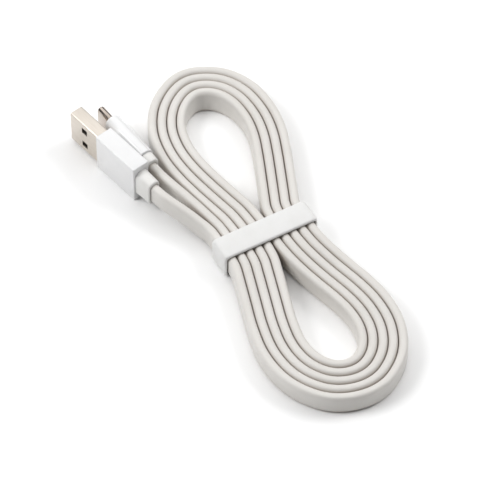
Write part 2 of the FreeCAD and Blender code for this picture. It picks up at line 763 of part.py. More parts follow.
def usb_c_rear_shield():
    """Steel can round the board, over the rear of the shell."""
    start = "usb_c_shield_front - usb_c_shield_length"
    outside = bar("usb_c_shield_outside", C_FRAME, start, "usb_c_shield_length",
                  section_of("usb_c_shield"))
    inside = bar("usb_c_shield_inside", C_FRAME, start, "usb_c_shield_length",
                 usb_c_shield_inner("usb_c_shield_wall"))
    return node(cut("usb_c_rear_shield", outside, [inside]))


def usb_c_shield_inner(inset):
    return ("usb_c_shield_thickness - 2 * (%s)" % inset, "usb_c_shield_height - 2 * (%s)" % inset,
            "usb_c_shield_corner - (%s)" % inset)


def usb_c_plug():
    usb_c_shell()
    upper = usb_c_contact_row("usb_c_upper_contacts", USB_C_UPPER_PINS, 1)
    lower = usb_c_contact_row("usb_c_lower_contacts", USB_C_LOWER_PINS, -1)
    latch = usb_c_latch_plate()
    springs = usb_c_ground_springs()
    usb_c_insulator([upper, lower, latch, springs])
    board, resistor = usb_c_circuit_board()
    usb_c_rear_shield()
    board_rear = value("usb_c_board_front - usb_c_board_length")
    board_top = value("usb_c_board_thickness / 2")
    spreads = [(MIDDLE_WIRE - k) * value("wire_pitch") for k in range(len(WIRE_COLOURS))]
    solder_spot = Vector(board_rear + value("usb_c_solder_forward"), board_top, 0)
    solder = solder_joints("usb_c", C_FRAME, solder_spot, spreads)
    end_of_cable = cable_end("usb_c", C_FRAME)
    cut_face = value("cable_end_inside + wire_clearance - usb_c_casing_length")
    wire_start = Vector(board_rear + value("usb_c_wire_forward"),
                        board_top + value("wire_rise"), 0)
    wires = wire_tails("usb_c", C_FRAME, wire_start, Vector(cut_face, 0, 0), spreads)
    block = bar("usb_c_mold_blank", C_FRAME, "0 - usb_c_cavity_depth - usb_c_front_wall + mold_gap",
                "usb_c_cavity_depth + usb_c_front_wall + usb_c_shield_front - 2 * mold_gap",
                usb_c_shield_inner("usb_c_shield_wall + mold_gap"))
    fillings = [board, resistor, upper, lower, solder, end_of_cable] + wires
    node(cut("usb_c_inner_mold", block, fillings))
    outside = bar("usb_c_casing_outside", C_FRAME, "0 - usb_c_casing_length",
                  "usb_c_casing_length", section_of("usb_c_casing"))
    cavity = bar("usb_c_casing_cavity", C_FRAME, "0 - usb_c_cavity_depth - usb_c_front_wall",
                 "usb_c_cavity_depth", section_of("usb_c_cavity"))
    front = bar("usb_c_front_opening", C_FRAME, "0 - usb_c_front_wall", "usb_c_front_wall",
                section_of("usb_c_shell"))
    node(cut("usb_c_casing", outside, [cavity, front, neck_opening("usb_c", C_FRAME)]))
    boot("usb_c", C_FRAME, end_of_cable)


# ------------------------------------------------------------ output
def check_document():
    """Stop unless every object was built and every piece is sound."""
    doc.recompute()
    failed = [item.Name for item in doc.Objects
              if "Invalid" in item.State or "Error" in item.State]
    unsound = [item.Label for item in nodes if item.Shape.isNull() or not item.Shape.isValid()]
    if failed or unsound:
        raise RuntimeError("failed: %s, unsound: %s" % (failed, unsound))


def write_parts():
    os.makedirs("parts", exist_ok=True)
    for item in nodes:
        item.Shape.exportStep("parts/%s.step" % item.Label)
        print("%-26s solids %2d  volume %9.2f" % (
            item.Label, len(item.Shape.Solids), item.Shape.Volume))
    whole = Part.makeCompound([item.Shape for item in nodes])
    print(len(nodes), "pieces", whole.BoundBox)


cable_coil()
ribbon("usb_a_lead", USB_A_LEAD)
ribbon("usb_c_lead", USB_C_LEAD)
coil_band()
usb_a_plug()
usb_c_plug()
check_document()
write_parts()
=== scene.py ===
"""Looks of a flat USB-A to USB-C charging cable, wound as a hank and held by a band."""
import json
import math

import bmesh
import bpy
from mathutils import Matrix, Vector


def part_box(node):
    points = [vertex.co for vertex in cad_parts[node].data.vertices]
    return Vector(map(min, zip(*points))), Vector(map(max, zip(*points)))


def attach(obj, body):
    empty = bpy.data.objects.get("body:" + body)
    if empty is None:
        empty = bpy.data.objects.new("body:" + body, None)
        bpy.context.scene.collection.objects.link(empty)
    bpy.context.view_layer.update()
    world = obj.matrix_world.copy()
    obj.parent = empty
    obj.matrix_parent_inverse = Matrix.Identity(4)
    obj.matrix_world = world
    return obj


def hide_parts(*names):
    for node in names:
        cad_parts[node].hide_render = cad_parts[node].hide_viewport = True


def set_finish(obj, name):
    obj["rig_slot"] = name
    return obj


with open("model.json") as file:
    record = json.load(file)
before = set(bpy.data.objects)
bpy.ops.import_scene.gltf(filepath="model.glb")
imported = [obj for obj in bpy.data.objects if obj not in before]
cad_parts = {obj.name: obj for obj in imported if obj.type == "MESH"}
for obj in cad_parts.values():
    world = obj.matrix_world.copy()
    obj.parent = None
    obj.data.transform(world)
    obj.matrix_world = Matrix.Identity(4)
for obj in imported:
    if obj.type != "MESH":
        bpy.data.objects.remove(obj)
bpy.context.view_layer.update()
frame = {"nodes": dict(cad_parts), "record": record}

MM = 0.001
UP = Vector((0, 0, 1))

# ------------------------------------------------------------ the ribbon's route
RIBBON_WIDTH = 7.0 * MM
RIBBON_THICKNESS = 2.8 * MM
RIBBON_EDGE = 1.2 * MM
STRAND_PITCH = 3.0 * MM

# Each strand rises to pass through the band: it is at its full height this far
# each way from the band's centre, and back on the floor this far out.
STRAND_LIFT = 1.1 * MM
LIFT_FLAT_HALF = 7.0 * MM
LIFT_RAMP_END = 22.0 * MM

# Each loop's line, from the band's centre: up one side of the loop, round its end
# and back down the other side.  It lies halfway between the first and second turn.
TURNS_BEFORE_LINE = 1.5
UPPER_LOOP = [
    (0.0000, 0.0100), (-0.0012, 0.0170), (-0.0027, 0.0250), (-0.0042, 0.0335),
    (-0.0046, 0.0425), (-0.0026, 0.0513), (0.0026, 0.0587), (0.0095, 0.0623),
    (0.0158, 0.0594), (0.0195, 0.0533), (0.0202, 0.0450), (0.0187, 0.0365),
    (0.0154, 0.0280), (0.0117, 0.0195), (0.0084, 0.0120), (0.0060, 0.0066),
]
LOWER_LOOP = [
    (0.0030, -0.0080), (0.0044, -0.0160), (0.0063, -0.0235), (0.0083, -0.0310),
    (0.0094, -0.0385), (0.0085, -0.0460), (0.0050, -0.0522), (-0.0006, -0.0556),
    (-0.0068, -0.0542), (-0.0111, -0.0485), (-0.0123, -0.0405), (-0.0105, -0.0315),
    (-0.0076, -0.0225), (-0.0051, -0.0142), (-0.0030, -0.0072),
]
LOOPS = {"upper": UPPER_LOOP, "lower": LOWER_LOOP}

# Each free lead, from the band's centre: across, along, up.  It starts just
# inside its boot's rear face and ends where its strand joins the hank.
USB_A_LEAD = [
    (-0.02153, 0.03113, 0.0070), (-0.02063, 0.02660, 0.0070), (-0.0189, 0.0223, 0.0066),
    (-0.0168, 0.0176, 0.0059), (-0.0149, 0.0129, 0.0050), (-0.0138, 0.0099, 0.0046),
    (-0.0135, 0.0076, 0.0046), (-0.0135, 0.0058, 0.0046),
]
USB_C_LEAD = [
    (-0.01724, 0.03993, 0.0058), (-0.01663, 0.03478, 0.0058), (-0.0153, 0.0296, 0.0055),
    (-0.0136, 0.0236, 0.0051), (-0.01175, 0.0156, 0.0047), (-0.0105, 0.0091, 0.0046),
    (-0.0105, 0.0058, 0.0046),
]
# The turns in the order that the ribbon takes them from plug to plug: which
# loop, which turn counted from its hole, and whether it runs the line backwards.
TURNS = (
    ("lower", 5, True), ("upper", 4, True), ("lower", 3, True), ("upper", 2, True),
    ("lower", 1, True), ("upper", 1, False), ("lower", 2, False), ("upper", 3, False),
    ("lower", 4, False),
)
# Points read from the route's spline between two of its control points.
ROUTE_STEPS = 10

# The upper loop's far end leans outwards.  The lean grows with the distance past
# the hole's middle, which is counted from the band's centre.
HOLE_MIDDLE = Vector((8.0, 44.0, 0)) * MM
FAR_WAY = Vector((0.49, 0.87, 0)).normalized()
LEAN_START = 1.0 * MM
LEAN_FULL = 14.0 * MM
LEAN = math.tan(math.radians(14))


def middle_of(node):
    """The middle of a CAD node's box."""
    low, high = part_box(node)
    return (low + high) / 2


# Where the loops' lines are counted from: under the band's middle, on the floor.
BAND_CENTRE = middle_of("coil_band") * Vector((1, 1, 0))


def lift(along):
    """How far a strand is off the floor, where it rises to pass through the band."""
    ramp = (LIFT_RAMP_END - abs(along)) / (LIFT_RAMP_END - LIFT_FLAT_HALF)
    return STRAND_LIFT * min(1, max(0, ramp))


def beside(line, distance):
    """The line moved outwards; its ends count as parallel to the hank."""
    first = (line[0][0], 0.0)
    last = (line[-1][0], 0.0)
    spots = [Vector((x, y, 0)) for x, y in [first] + line + [last]]
    moved = []
    for before, corner, after in zip(spots, spots[1:], spots[2:]):
        side_in = UP.cross((corner - before).normalized())
        side_out = UP.cross((after - corner).normalized())
        middle = (side_in + side_out).normalized()
        moved.append(corner + middle * (distance / middle.dot(side_in)))
    return moved


def turn_points(loop, turn, backwards):
    """Control points of one turn, with the ribbon's middle at its height."""
    spots = beside(LOOPS[loop], (turn - TURNS_BEFORE_LINE) * STRAND_PITCH)
    if backwards:
        spots.reverse()
    return [Vector((spot.x, spot.y, RIBBON_WIDTH / 2 + lift(spot.y))) for spot in spots]


def cable_route():
    """Control points from the USB-A boot, round every turn, to the USB-C boot."""
    points = [Vector(point) for point in USB_A_LEAD]
    for loop, turn, backwards in TURNS:
        points += turn_points(loop, turn, backwards)
    points += [Vector(point) for point in reversed(USB_C_LEAD)]
    return [BAND_CENTRE + point for point in points]


def smooth_line(points):
    """Points read from the NURBS spline that has the given control points."""
    curve = bpy.data.curves.new("cable_line", "CURVE")
    curve.dimensions = "3D"
    spline = curve.splines.new("NURBS")
    spline.points.add(len(points) - 1)
    for spot, point in zip(spline.points, points):
        spot.co = (*point, 1)
    spline.order_u = 3
    spline.use_endpoint_u = True
    spline.resolution_u = ROUTE_STEPS
    holder = bpy.data.objects.new("cable_line", curve)
    mesh = bpy.data.meshes.new_from_object(holder)
    line = [vertex.co.copy() for vertex in mesh.vertices]
    bpy.data.meshes.remove(mesh)
    bpy.data.curves.remove(curve)
    return line


# ------------------------------------------------------------ meshes
# Steps round a quarter turn: of a section's corner, and of a rounded edge.
CORNER_STEPS = 6
RIM_STEPS = 4
# A section's corners are never sharper than this radius.
LEAST_CORNER = 0.02 * MM
# Smooth shading stops at edges sharper than these angles, in degrees.
SHARP_ANGLE = 35
SOFT_SHARP_ANGLE = 50
CAD_SHARP_ANGLE = 30


def rounded_rectangle(wide, tall, corner):
    """Points round a rectangle with round corners, counted from its middle."""
    points = []
    for quarter, (i, j) in enumerate(((1, 1), (-1, 1), (-1, -1), (1, -1))):
        for k in range(CORNER_STEPS + 1):
            angle = (quarter + k / CORNER_STEPS) * math.pi / 2
            points.append((i * (wide / 2 - corner) + corner * math.cos(angle),
                           j * (tall / 2 - corner) + corner * math.sin(angle)))
    return points


def loft(name, rings, closed=False):
    """Solid through rings of points; closed joins the last ring to the first."""
    shape = bmesh.new()
    rows = [[shape.verts.new(point) for point in ring] for ring in rings]
    count = len(rows[0])
    pairs = list(zip(rows, rows[1:]))
    if closed:
        pairs.append((rows[-1], rows[0]))
    else:
        shape.faces.new(rows[0][::-1])
        shape.faces.new(rows[-1])
    for row, following in pairs:
        for k in range(count):
            after = (k + 1) % count
            shape.faces.new((row[k], row[after], following[after], following[k]))
    bmesh.ops.recalc_face_normals(shape, faces=shape.faces)
    return new_piece(name, shape)


def new_piece(name, shape):
    """Object in the scene with the shape as its mesh."""
    mesh = bpy.data.meshes.new(name)
    shape.to_mesh(mesh)
    shape.free()
    piece = bpy.data.objects.new(name, mesh)
    bpy.context.scene.collection.objects.link(piece)
    return piece


def smooth(piece, degrees):
    """Smooth shading, except at edges sharper than the angle."""
    piece.data.shade_smooth()
    piece.data.set_sharp_from_angle(angle=math.radians(degrees))


# ------------------------------------------------------------ the cable
def leaning(point):
    """The point where the far end's lean takes it.

    The ribbon's upper edge stays, and its middle moves by less than a millimetre,
    which the cord's path leaves out.
    """
    distance = FAR_WAY.dot(point - BAND_CENTRE - HOLE_MIDDLE)
    share = min(1, max(0, (distance - LEAN_START) / (LEAN_FULL - LEAN_START)))
    eased = share * share * (3 - 2 * share)
    return point - FAR_WAY * (eased * LEAN * (RIBBON_WIDTH - point.z))


def make_cable():
    """The whole ribbon on edge, swept along its route."""
    line = smooth_line(cable_route())
    section = rounded_rectangle(RIBBON_THICKNESS, RIBBON_WIDTH, RIBBON_EDGE)
    rings = []
    for k, spot in enumerate(line):
        ahead = (line[min(k + 1, len(line) - 1)] - line[max(k - 1, 0)]).normalized()
        across = ahead.cross(UP).normalized()
        upward = across.cross(ahead)
        rings.append([leaning(spot + across * a + upward * b) for a, b in section])
    cable = loft("cable_ribbon", rings)
    unwrap_rings(cable, line, len(section))
    smooth(cable, SOFT_SHARP_ANGLE)
    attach(cable, "cable")
    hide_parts("cable_coil", "usb_a_lead", "usb_c_lead")
    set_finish(cable, "cable_jacket")
    return cable, line


def unwrap_rings(piece, line, count):
    """Texture coordinates: metres along the line, and the share of the way round it."""
    along = [0.0]
    for a, b in zip(line, line[1:]):
        along.append(along[-1] + (b - a).length)
    layer = piece.data.uv_layers.new(name="along")
    for loop in piece.data.loops:
        ring, place = divmod(loop.vertex_index, count)
        layer.data[loop.index].uv = (along[ring], place / count)


# ------------------------------------------------------------ the plugs
def plug_frame(mount, exposed):
    """The plug's axes: the origin is in the casing's front face, +X points to the tip."""
    tip = next(item for item in frame["record"]["mounts"] if item["name"] == mount)
    ahead = Vector(tip["axis"]).normalized()
    side = UP.cross(ahead)
    axes = Matrix((ahead, side, UP)).transposed().to_4x4()
    return Matrix.Translation(Vector(tip["pos_m"]) - ahead * exposed) @ axes


A_EXPOSED = 13.2 * MM
C_EXPOSED = 6.3 * MM
A_FRAME = plug_frame("usb_a_plug", A_EXPOSED)
C_FRAME = plug_frame("usb_c_plug", C_EXPOSED)

# Sections across a plug are thickness, width and corner radius.  Edges and lips are
# radii, and the boots narrow by the taper's angle in degrees on each side.
CASING_LENGTH = 18.0 * MM
CASING_LIP = 0.12 * MM
NECK = (3.9 * MM, 8.2 * MM, 1.5 * MM)
NECK_LENGTH = 1.0 * MM
BOOT_TAPER = 1.8
BOOT_GAP = 0.16 * MM
BOOT_RECESS = 0.9 * MM
BOOT_FRONT_EDGE = 0.2 * MM
BOOT_REAR_EDGE = 0.5 * MM
BOOT_LIP = 0.08 * MM

A_SHELL = (4.5 * MM, 12.0 * MM, 0.5 * MM)
A_SHELL_LENGTH = 18.75 * MM
A_SHELL_WALL = 0.3 * MM
A_SHELL_EDGE = 0.1 * MM
A_CASING = (6.0 * MM, 14.0 * MM, 0.35 * MM)
A_CAVITY = (4.6 * MM, 12.1 * MM, 0.5 * MM)
A_CASING_EDGES = (0.3 * MM, 0.3 * MM)
A_CASING_WALLS = (0.5 * MM, 1.0 * MM)
A_BOOT = (4.8 * MM, 9.8 * MM, 2.1 * MM)
A_BOOT_LENGTH = 6.2 * MM

WINDOW_BACK = 6.7 * MM
WINDOW_SPREAD = 3.0 * MM
WINDOW_LENGTH = 2.5 * MM
WINDOW_HEIGHT = 2.2 * MM
WINDOW_CORNER = 0.15 * MM
# The ends of a bar that cuts a window, as shares of the shell's thickness.
WINDOW_CUT = (0.25, 1.0)

C_SHELL = (2.56 * MM, 8.34 * MM, 1.27 * MM)
C_SHELL_LENGTH = 10.4 * MM
C_SHELL_WALL = 0.2 * MM
C_SHELL_CURL = 0.38 * MM
C_CASING = (5.4 * MM, 11.6 * MM, 2.6 * MM)
C_CAVITY = (3.9 * MM, 9.5 * MM, 1.3 * MM)
C_CASING_EDGES = (0.6 * MM, 0.3 * MM)
C_CASING_WALLS = (1.0 * MM, 1.0 * MM)
C_BOOT = (4.8 * MM, 10.0 * MM, 2.1 * MM)
C_BOOT_LENGTH = 3.6 * MM


def ring(place, along, section, inset=0.0):
    """Rounded rectangle across the piece; inset moves it in from the section."""
    wide, tall, corner = section
    corner = max(corner - inset, LEAST_CORNER)
    points = rounded_rectangle(wide - 2 * inset, tall - 2 * inset, corner)
    return [place @ Vector((along, a, b)) for a, b in points]


def rim(place, along, section, radius, side, outwards=True):
    """Rings of a rounded edge between a wall and a face that far along the piece.

    side is +1 for a face that looks along the piece, as to a plug's tip, and -1 for
    one that looks back.  The rings go from the face to the wall, and outwards is
    False inside a hole.
    """
    rings = []
    for k in range(RIM_STEPS + 1):
        angle = k / RIM_STEPS * math.pi / 2
        inset = radius * (1 - math.sin(angle))
        back = side * radius * (1 - math.cos(angle))
        rings.append(ring(place, along - back, section, inset if outwards else -inset))
    return rings


def made_of_rings(node, rings, slot_name, body="cable", angle=SHARP_ANGLE):
    """Closed sleeve through the rings, standing for the CAD node."""
    piece = loft(node + "_finished", rings, closed=True)
    smooth(piece, angle)
    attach(piece, body)
    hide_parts(node)
    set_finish(piece, slot_name)
    return piece


def make_casing(node, place, section, opening, cavity, edges, walls):
    """Hollow moulding: open for the shell in front and for the boot's neck behind."""
    front_edge, rear_edge = edges
    front_wall, rear_wall = walls
    rear = -CASING_LENGTH
    rings = rim(place, 0, opening, CASING_LIP, 1, outwards=False)[::-1]
    rings += rim(place, 0, section, front_edge, 1)
    rings += rim(place, rear, section, rear_edge, -1)[::-1]
    rings += rim(place, rear, NECK, CASING_LIP, -1, outwards=False)
    rings += [ring(place, rear + rear_wall, NECK), ring(place, rear + rear_wall, cavity),
              ring(place, -front_wall, cavity), ring(place, -front_wall, opening)]
    return made_of_rings(node, rings, "casing_plastic")


def make_boot(node, place, section, length):
    """Strain relief that narrows towards the cable, with a small gap round the cable."""
    wide, tall, corner = section
    slope = length * math.tan(math.radians(BOOT_TAPER))
    narrow = (wide - 2 * slope, tall - 2 * slope, corner - slope / 2)
    inside = (RIBBON_THICKNESS, RIBBON_WIDTH, RIBBON_EDGE)
    opening = (RIBBON_THICKNESS + 2 * BOOT_GAP, RIBBON_WIDTH + 2 * BOOT_GAP, RIBBON_EDGE + BOOT_GAP)
    front = -CASING_LENGTH
    rear = front - length
    rings = [ring(place, front + NECK_LENGTH, inside), ring(place, front + NECK_LENGTH, NECK),
             ring(place, front, NECK)]
    rings += rim(place, front, section, BOOT_FRONT_EDGE, 1)
    rings += rim(place, rear, narrow, BOOT_REAR_EDGE, -1)[::-1]
    rings += rim(place, rear, opening, BOOT_LIP, -1, outwards=False)
    rings += [ring(place, rear + BOOT_RECESS, opening), ring(place, rear + BOOT_RECESS, inside)]
    return made_of_rings(node, rings, "boot_elastomer")


def cut_mouth(place, front, section, wall, edge):
    """Rings from the bore to the outside, round a cut end with slightly rounded edges."""
    wide, tall, corner = section
    bore = (wide - 2 * wall, tall - 2 * wall, corner - wall)
    inner = rim(place, front, bore, edge, 1, outwards=False)[::-1]
    return inner + rim(place, front, section, edge, 1)


def curled_mouth(place, front, section, wall, radius):
    """Rings from the bore to the outside, round a lip that curls inwards."""
    rings = []
    for k in range(RIM_STEPS + 1):
        angle = k / RIM_STEPS * math.pi / 2
        along = front - radius + (radius - wall) * math.sin(angle)
        rings.append(ring(place, along, section, radius - (radius - wall) * math.cos(angle)))
    return rings + rim(place, front, section, radius, 1)


def make_shell(node, place, rear, section, wall, mouth, slot_name):
    """Sheet-metal tube behind its mouth's rings."""
    rings = mouth + [ring(place, rear, section), ring(place, rear, section, wall)]
    return made_of_rings(node, rings, slot_name)


def pierce(piece, cutters):
    """Cut the cutters' shapes out of the piece, and drop the cutters."""
    for cutter in cutters:
        hole = piece.modifiers.new(cutter.name, "BOOLEAN")
        hole.operation = "DIFFERENCE"
        hole.solver = "EXACT"
        hole.object = cutter
    seen = piece.evaluated_get(bpy.context.evaluated_depsgraph_get())
    cut_mesh = bpy.data.meshes.new_from_object(seen)
    piece.modifiers.clear()
    piece.data = cut_mesh
    for cutter in cutters:
        bpy.data.objects.remove(cutter)


def make_window_cutter(name, along, up, side):
    """Bar through one wide face of the USB-A shell, with rounded corners."""
    outline = rounded_rectangle(WINDOW_LENGTH, WINDOW_HEIGHT, WINDOW_CORNER)
    rings = []
    for share in WINDOW_CUT:
        depth = side * A_SHELL[0] * share
        rings.append([A_FRAME @ Vector((along + a, depth, up + b)) for a, b in outline])
    return loft(name, rings)


def make_usb_a():
    """USB-A plug: shell with its windows, casing and boot."""
    mouth = cut_mouth(A_FRAME, A_EXPOSED, A_SHELL, A_SHELL_WALL, A_SHELL_EDGE)
    shell = make_shell("usb_a_shell", A_FRAME, A_EXPOSED - A_SHELL_LENGTH, A_SHELL, A_SHELL_WALL,
                       mouth, "usb_a_shell_plating")
    cutters = []
    for side in (1, -1):
        for up in (WINDOW_SPREAD, -WINDOW_SPREAD):
            name = "window_cutter_%d" % len(cutters)
            cutters.append(make_window_cutter(name, A_EXPOSED - WINDOW_BACK, up, side))
    pierce(shell, cutters)
    smooth(shell, SHARP_ANGLE)
    casing = make_casing("usb_a_casing", A_FRAME, A_CASING, A_CAVITY, A_CAVITY,
                         A_CASING_EDGES, A_CASING_WALLS)
    boot = make_boot("usb_a_boot", A_FRAME, A_BOOT, A_BOOT_LENGTH)
    return [shell, casing, boot]


def make_usb_c():
    """USB-C plug: seamless oval shell, casing and boot."""
    mouth = curled_mouth(C_FRAME, C_EXPOSED, C_SHELL, C_SHELL_WALL, C_SHELL_CURL)
    shell = make_shell("usb_c_shell", C_FRAME, C_EXPOSED - C_SHELL_LENGTH, C_SHELL, C_SHELL_WALL,
                       mouth, "usb_c_shell_plating")
    casing = make_casing("usb_c_casing", C_FRAME, C_CASING, C_SHELL, C_CAVITY,
                         C_CASING_EDGES, C_CASING_WALLS)
    boot = make_boot("usb_c_boot", C_FRAME, C_BOOT, C_BOOT_LENGTH)
    return [shell, casing, boot]


# ------------------------------------------------------------ the band
BAND_WIDTH = 8.4 * MM
BAND_OUTER_EDGE = 0.7 * MM
BAND_INNER_EDGE = 0.08 * MM
# The crown is at its full height over this share of the band's width.
BAND_CROWN = 0.06 * MM
BAND_CROWN_SHARE = 0.4
# Sections of the band are length across the hank, height and corner radius.
BAND_OUTSIDE = (32.3 * MM, 9.2 * MM, 1.5 * MM)
BAND_INSIDE = (30.7 * MM, 7.6 * MM, 0.7 * MM)


def make_band():
    """Moulded band round the hank: soft edges and a slight crown across its width."""
    axes = Matrix(((0, 1, 0), (-1, 0, 0), (0, 0, 1))).transposed().to_4x4()
    place = Matrix.Translation(middle_of("coil_band")) @ axes
    half = BAND_WIDTH / 2
    rings = rim(place, half, BAND_INSIDE, BAND_INNER_EDGE, 1, outwards=False)[::-1]
    rings += rim(place, half, BAND_OUTSIDE, BAND_OUTER_EDGE, 1)
    for share in (BAND_CROWN_SHARE, -BAND_CROWN_SHARE):
        rings.append(ring(place, share * half, BAND_OUTSIDE, -BAND_CROWN))
    rings += rim(place, -half, BAND_OUTSIDE, BAND_OUTER_EDGE, -1)[::-1]
    rings += rim(place, -half, BAND_INSIDE, BAND_INNER_EDGE, -1, outwards=False)
    return made_of_rings("coil_band", rings, "band_plastic", "band", SOFT_SHARP_ANGLE)


# ------------------------------------------------------------ materials
# The part of a noise texture's range that it mostly keeps to.
NOISE_SPAN = (0.35, 0.65)
# How open the surface is, from 0 to 1, where the painted crevice shade starts and where it is
# darkest.
CREVICE_SHADE_SPAN = (0.85, 0.25)
CREVICE_SHADE_SAMPLES = 8
# The pointiness where the painted edge highlight or edge shade starts and where it is full; a flat
# surface has 0.5.
EDGE_LIGHT_SPAN = (0.52, 0.62)
EDGE_LIGHT_SCALE = 900
# How much longer than wide the marks on rolled metal are.
ROLLED_STRETCH = 12
# The ribbon's drawn lines: noise cells to a metre along it, and cells round it.
DRAWN_CELLS = (9, 42, 1)
DRAWN_DEPTH = 0.03 * MM


class Finish:
    """A procedural finish, built up step by step on one Principled shader.

    The texture's place is the object's own, in metres, so a scale is in noise cells
    to a metre.  The stretch draws the cells out along a line turned from X.
    """

    def __init__(self, slot, stretch=(1, 1, 1), turn=0.0, **sockets):
        self.slot = slot
        self.material = bpy.data.materials.new(slot + "_finish")
        self.material.use_nodes = True
        self.tree = self.material.node_tree
        self.surface = self.tree.nodes["Principled BSDF"]
        for socket, value in sockets.items():
            self.surface.inputs[socket.replace("_", " ")].default_value = value
        own = self.node("ShaderNodeTexCoord")
        self.place = self.node("ShaderNodeMapping", vector_type="TEXTURE")
        self.place.inputs["Rotation"].default_value = (0, 0, turn)
        self.place.inputs["Scale"].default_value = stretch
        self.join(own, "Object", self.place, "Vector")
        self.colour = None
        self.last_bump = None

    def node(self, kind, **options):
        """New shader node with those settings."""
        made = self.tree.nodes.new(kind)
        for name, value in options.items():
            setattr(made, name, value)
        return made

    def join(self, start, output, end, entry):
        """Link one node's output to another node's socket."""
        self.tree.links.new(start.outputs[output], end.inputs[entry])

    def noise(self, scale, detail=3.0):
        """Noise texture over the surface."""
        made = self.node("ShaderNodeTexNoise")
        made.inputs["Scale"].default_value = scale
        made.inputs["Detail"].default_value = detail
        self.join(self.place, "Vector", made, "Vector")
        return made

    def remap(self, start, output, span, low, high):
        """The output, with the span's two ends carried to low and high."""
        made = self.node("ShaderNodeMapRange")
        values = {"From Min": span[0], "From Max": span[1], "To Min": low, "To Max": high}
        for name, value in values.items():
            made.inputs[name].default_value = value
        self.join(start, output, made, "Value")
        return made

    def towards(self, colour, share, output):
        """Base colour mixed towards another colour by a share that varies."""
        mixed = self.node("ShaderNodeMixRGB")
        mixed.inputs["Color2"].default_value = (*colour, 1)
        self.join(share, output, mixed, "Fac")
        self.join(self.colour, "Color", mixed, "Color1")
        self.join(mixed, "Color", self.surface, "Base Color")
        self.colour = mixed
        return self

    def tint(self, first, second, scale):
        """Base colour that drifts between two colours."""
        ramp = self.node("ShaderNodeValToRGB")
        for stop, position, colour in zip(ramp.color_ramp.elements, NOISE_SPAN, (first, second)):
            stop.position = position
            stop.color = (*colour, 1)
        self.join(self.noise(scale), "Fac", ramp, "Fac")
        self.join(ramp, "Color", self.surface, "Base Color")
        self.colour = ramp
        return self

    def gloss(self, low, high, scale):
        """Roughness that drifts between two values."""
        spread = self.remap(self.noise(scale), "Fac", NOISE_SPAN, low, high)
        self.join(spread, "Result", self.surface, "Roughness")
        return self

    def relief(self, height, depth):
        """Bump of that depth in metres, on top of the bumps before it."""
        bump = self.node("ShaderNodeBump")
        bump.inputs["Distance"].default_value = depth
        self.join(height, "Fac", bump, "Height")
        if self.last_bump:
            self.join(self.last_bump, "Normal", bump, "Normal")
        self.join(bump, "Normal", self.surface, "Normal")
        self.last_bump = bump
        return self

    def grain(self, scale, depth, detail=2.0):
        """Fine bumps all over the surface."""
        return self.relief(self.noise(scale, detail), depth)

    def painted_crevice_shade(self, colour, reach, amount):
        """Painted shade: the base colour darkened towards a brown where the surface is closed in
        within that reach.
        """
        hollow = self.node("ShaderNodeAmbientOcclusion", samples=CREVICE_SHADE_SAMPLES)
        hollow.inputs["Distance"].default_value = reach
        shade_share = self.remap(hollow, "AO", CREVICE_SHADE_SPAN, 0.0, amount)
        return self.towards(colour, shade_share, "Result")

    def painted_edge_light(self, colour, amount):
        """Painted edge light: patches of a lighter or darker colour where the mesh is pointed, as
        along edges and rims, standing in for edge highlights and dark edge reflections.
        """
        shape = self.node("ShaderNodeNewGeometry")
        edge = self.remap(shape, "Pointiness", EDGE_LIGHT_SPAN, 0.0, amount)
        patchy = self.node("ShaderNodeMath", operation="MULTIPLY")
        self.join(edge, "Result", patchy, 0)
        self.join(self.noise(EDGE_LIGHT_SCALE), "Fac", patchy, 1)
        return self.towards(colour, patchy, "Value")


def cable_finish():
    """Warm off-white elastomer: satin, with fine grain and faint drawn lines along it."""
    finish = Finish("cable_jacket")
    finish.tint((0.680, 0.660, 0.630), (0.652, 0.630, 0.597), scale=70)
    # Painted shade: the grooves between strands and the pockets between the leads are darkened
    # towards brown.
    finish.painted_crevice_shade((0.33, 0.26, 0.21), reach=3 * MM, amount=0.48)
    finish.gloss(0.40, 0.54, scale=900)
    finish.grain(scale=5000, depth=0.008 * MM)
    along = finish.node("ShaderNodeUVMap", uv_map="along")
    drawn = finish.node("ShaderNodeMapping")
    drawn.inputs["Scale"].default_value = DRAWN_CELLS
    lines = finish.node("ShaderNodeTexNoise")
    lines.inputs["Scale"].default_value = 1.0
    finish.join(along, "UV", drawn, "Vector")
    finish.join(drawn, "Vector", lines, "Vector")
    return finish.relief(lines, DRAWN_DEPTH)


def band_finish():
    """Matte white moulding with a fine spark-eroded grain."""
    finish = Finish("band_plastic")
    finish.tint((0.735, 0.733, 0.725), (0.705, 0.702, 0.690), scale=180)
    finish.gloss(0.48, 0.62, scale=1500)
    finish.grain(scale=4200, depth=0.012 * MM)
    # Painted highlight: the band's pointed edges are lightened.
    return finish.painted_edge_light((0.79, 0.785, 0.77), amount=0.7)


def casing_finish():
    """Glossy white moulding with a trace of ripple."""
    finish = Finish("casing_plastic", Coat_Weight=0.25, Coat_Roughness=0.06, Specular_IOR_Level=0.5)
    finish.tint((0.785, 0.786, 0.790), (0.762, 0.762, 0.765), scale=120)
    finish.gloss(0.14, 0.22, scale=700)
    finish.grain(scale=650, depth=0.010 * MM, detail=1.0)
    # Painted highlight: the casing's pointed edges are lightened.
    return finish.painted_edge_light((0.83, 0.83, 0.83), amount=0.6)


def boot_finish():
    """Warm white soft elastomer."""
    finish = Finish("boot_elastomer")
    finish.tint((0.760, 0.753, 0.732), (0.730, 0.721, 0.698), scale=160)
    finish.gloss(0.40, 0.52, scale=1200)
    return finish.grain(scale=4800, depth=0.010 * MM)


